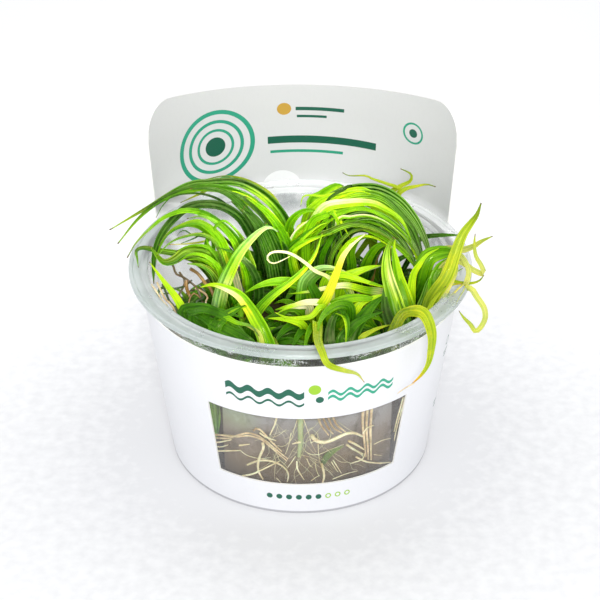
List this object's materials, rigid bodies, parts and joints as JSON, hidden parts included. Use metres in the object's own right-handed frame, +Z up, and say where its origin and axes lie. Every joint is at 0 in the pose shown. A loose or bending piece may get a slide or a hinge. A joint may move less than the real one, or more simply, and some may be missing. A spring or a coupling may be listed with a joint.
{
  "type": "aquarium plant in a culture cup",
  "caption": "Long soft grass-like water plant leaves arching out of a clear round culture cup of gel, wrapped in a card sleeve with a window and a header.",
  "frame": {"origin": "centre of the cup's flat foot, on the floor", "axes": "+Z up along the cup's axis, -Y towards the window in the card, +Y towards the header, +X to the right as the window is faced"},
  "size_m": [0.1073, 0.1027, 0.0941],
  "materials": {
    "clear_plastic": "clear moulded plastic",
    "card": "coated card",
    "gel": "wet set gel",
    "stem": "soft plant stem",
    "root": "wet root",
    "leaf_deep_green": "smooth dark leaf",
    "leaf_green": "smooth leaf",
    "leaf_bright_green": "smooth leaf",
    "leaf_lime": "smooth young leaf",
    "leaf_yellow": "smooth ageing leaf",
    "leaf_pale": "smooth bleached leaf"
  },
  "bodies": {
    "root": {"cup": "clear_plastic", "card_sleeve": "card", "gel": "gel", "back_stem": "stem", "back_right_stem": "stem", "far_right_stem": "stem", "left_stem": "stem", "front_left_stem": "stem", "front_stem": "stem", "front_right_stem": "stem", "right_stem": "stem", "back_leaf_1": "leaf_green", "back_leaf_2": "leaf_lime", "back_leaf_3": "leaf_green", "back_leaf_4": "leaf_deep_green", "back_leaf_5": "leaf_yellow", "back_leaf_6": "leaf_yellow", "left_leaf_1": "leaf_bright_green", "left_leaf_2": "leaf_bright_green", "left_leaf_3": "leaf_green", "left_leaf_4": "leaf_bright_green", "left_leaf_5": "leaf_deep_green", "left_leaf_6": "leaf_lime", "front_left_leaf_1": "leaf_lime", "front_left_leaf_2": "leaf_deep_green", "front_left_leaf_3": "leaf_lime", "front_left_leaf_4": "leaf_lime", "front_leaf_1": "leaf_yellow", "front_leaf_2": "leaf_yellow", "front_leaf_3": "leaf_lime", "front_leaf_4": "leaf_bright_green", "front_leaf_5": "leaf_lime", "front_leaf_6": "leaf_green", "front_leaf_7": "leaf_bright_green", "front_right_leaf_1": "leaf_bright_green", "front_right_leaf_2": "leaf_bright_green", "front_right_leaf_3": "leaf_lime", "front_right_leaf_4": "leaf_yellow", "front_right_leaf_5": "leaf_green", "right_leaf_1": "leaf_lime", "right_leaf_2": "leaf_green", "right_leaf_3": "leaf_green", "right_leaf_4": "leaf_yellow", "right_leaf_5": "leaf_yellow", "right_leaf_6": "leaf_pale", "far_right_leaf_1": "leaf_deep_green", "far_right_leaf_2": "leaf_bright_green", "far_right_leaf_3": "leaf_lime", "back_right_leaf_1": "leaf_deep_green", "back_right_leaf_2": "leaf_deep_green", "back_right_leaf_3": "leaf_lime", "back_right_leaf_4": "leaf_pale", "back_right_leaf_5": "leaf_green", "back_right_leaf_6": "leaf_green", "folded_root": "root", "looped_root": "root", "tan_root": "root", "cream_root": "root", "thick_root": "root"}
  },
  "joints": []
}
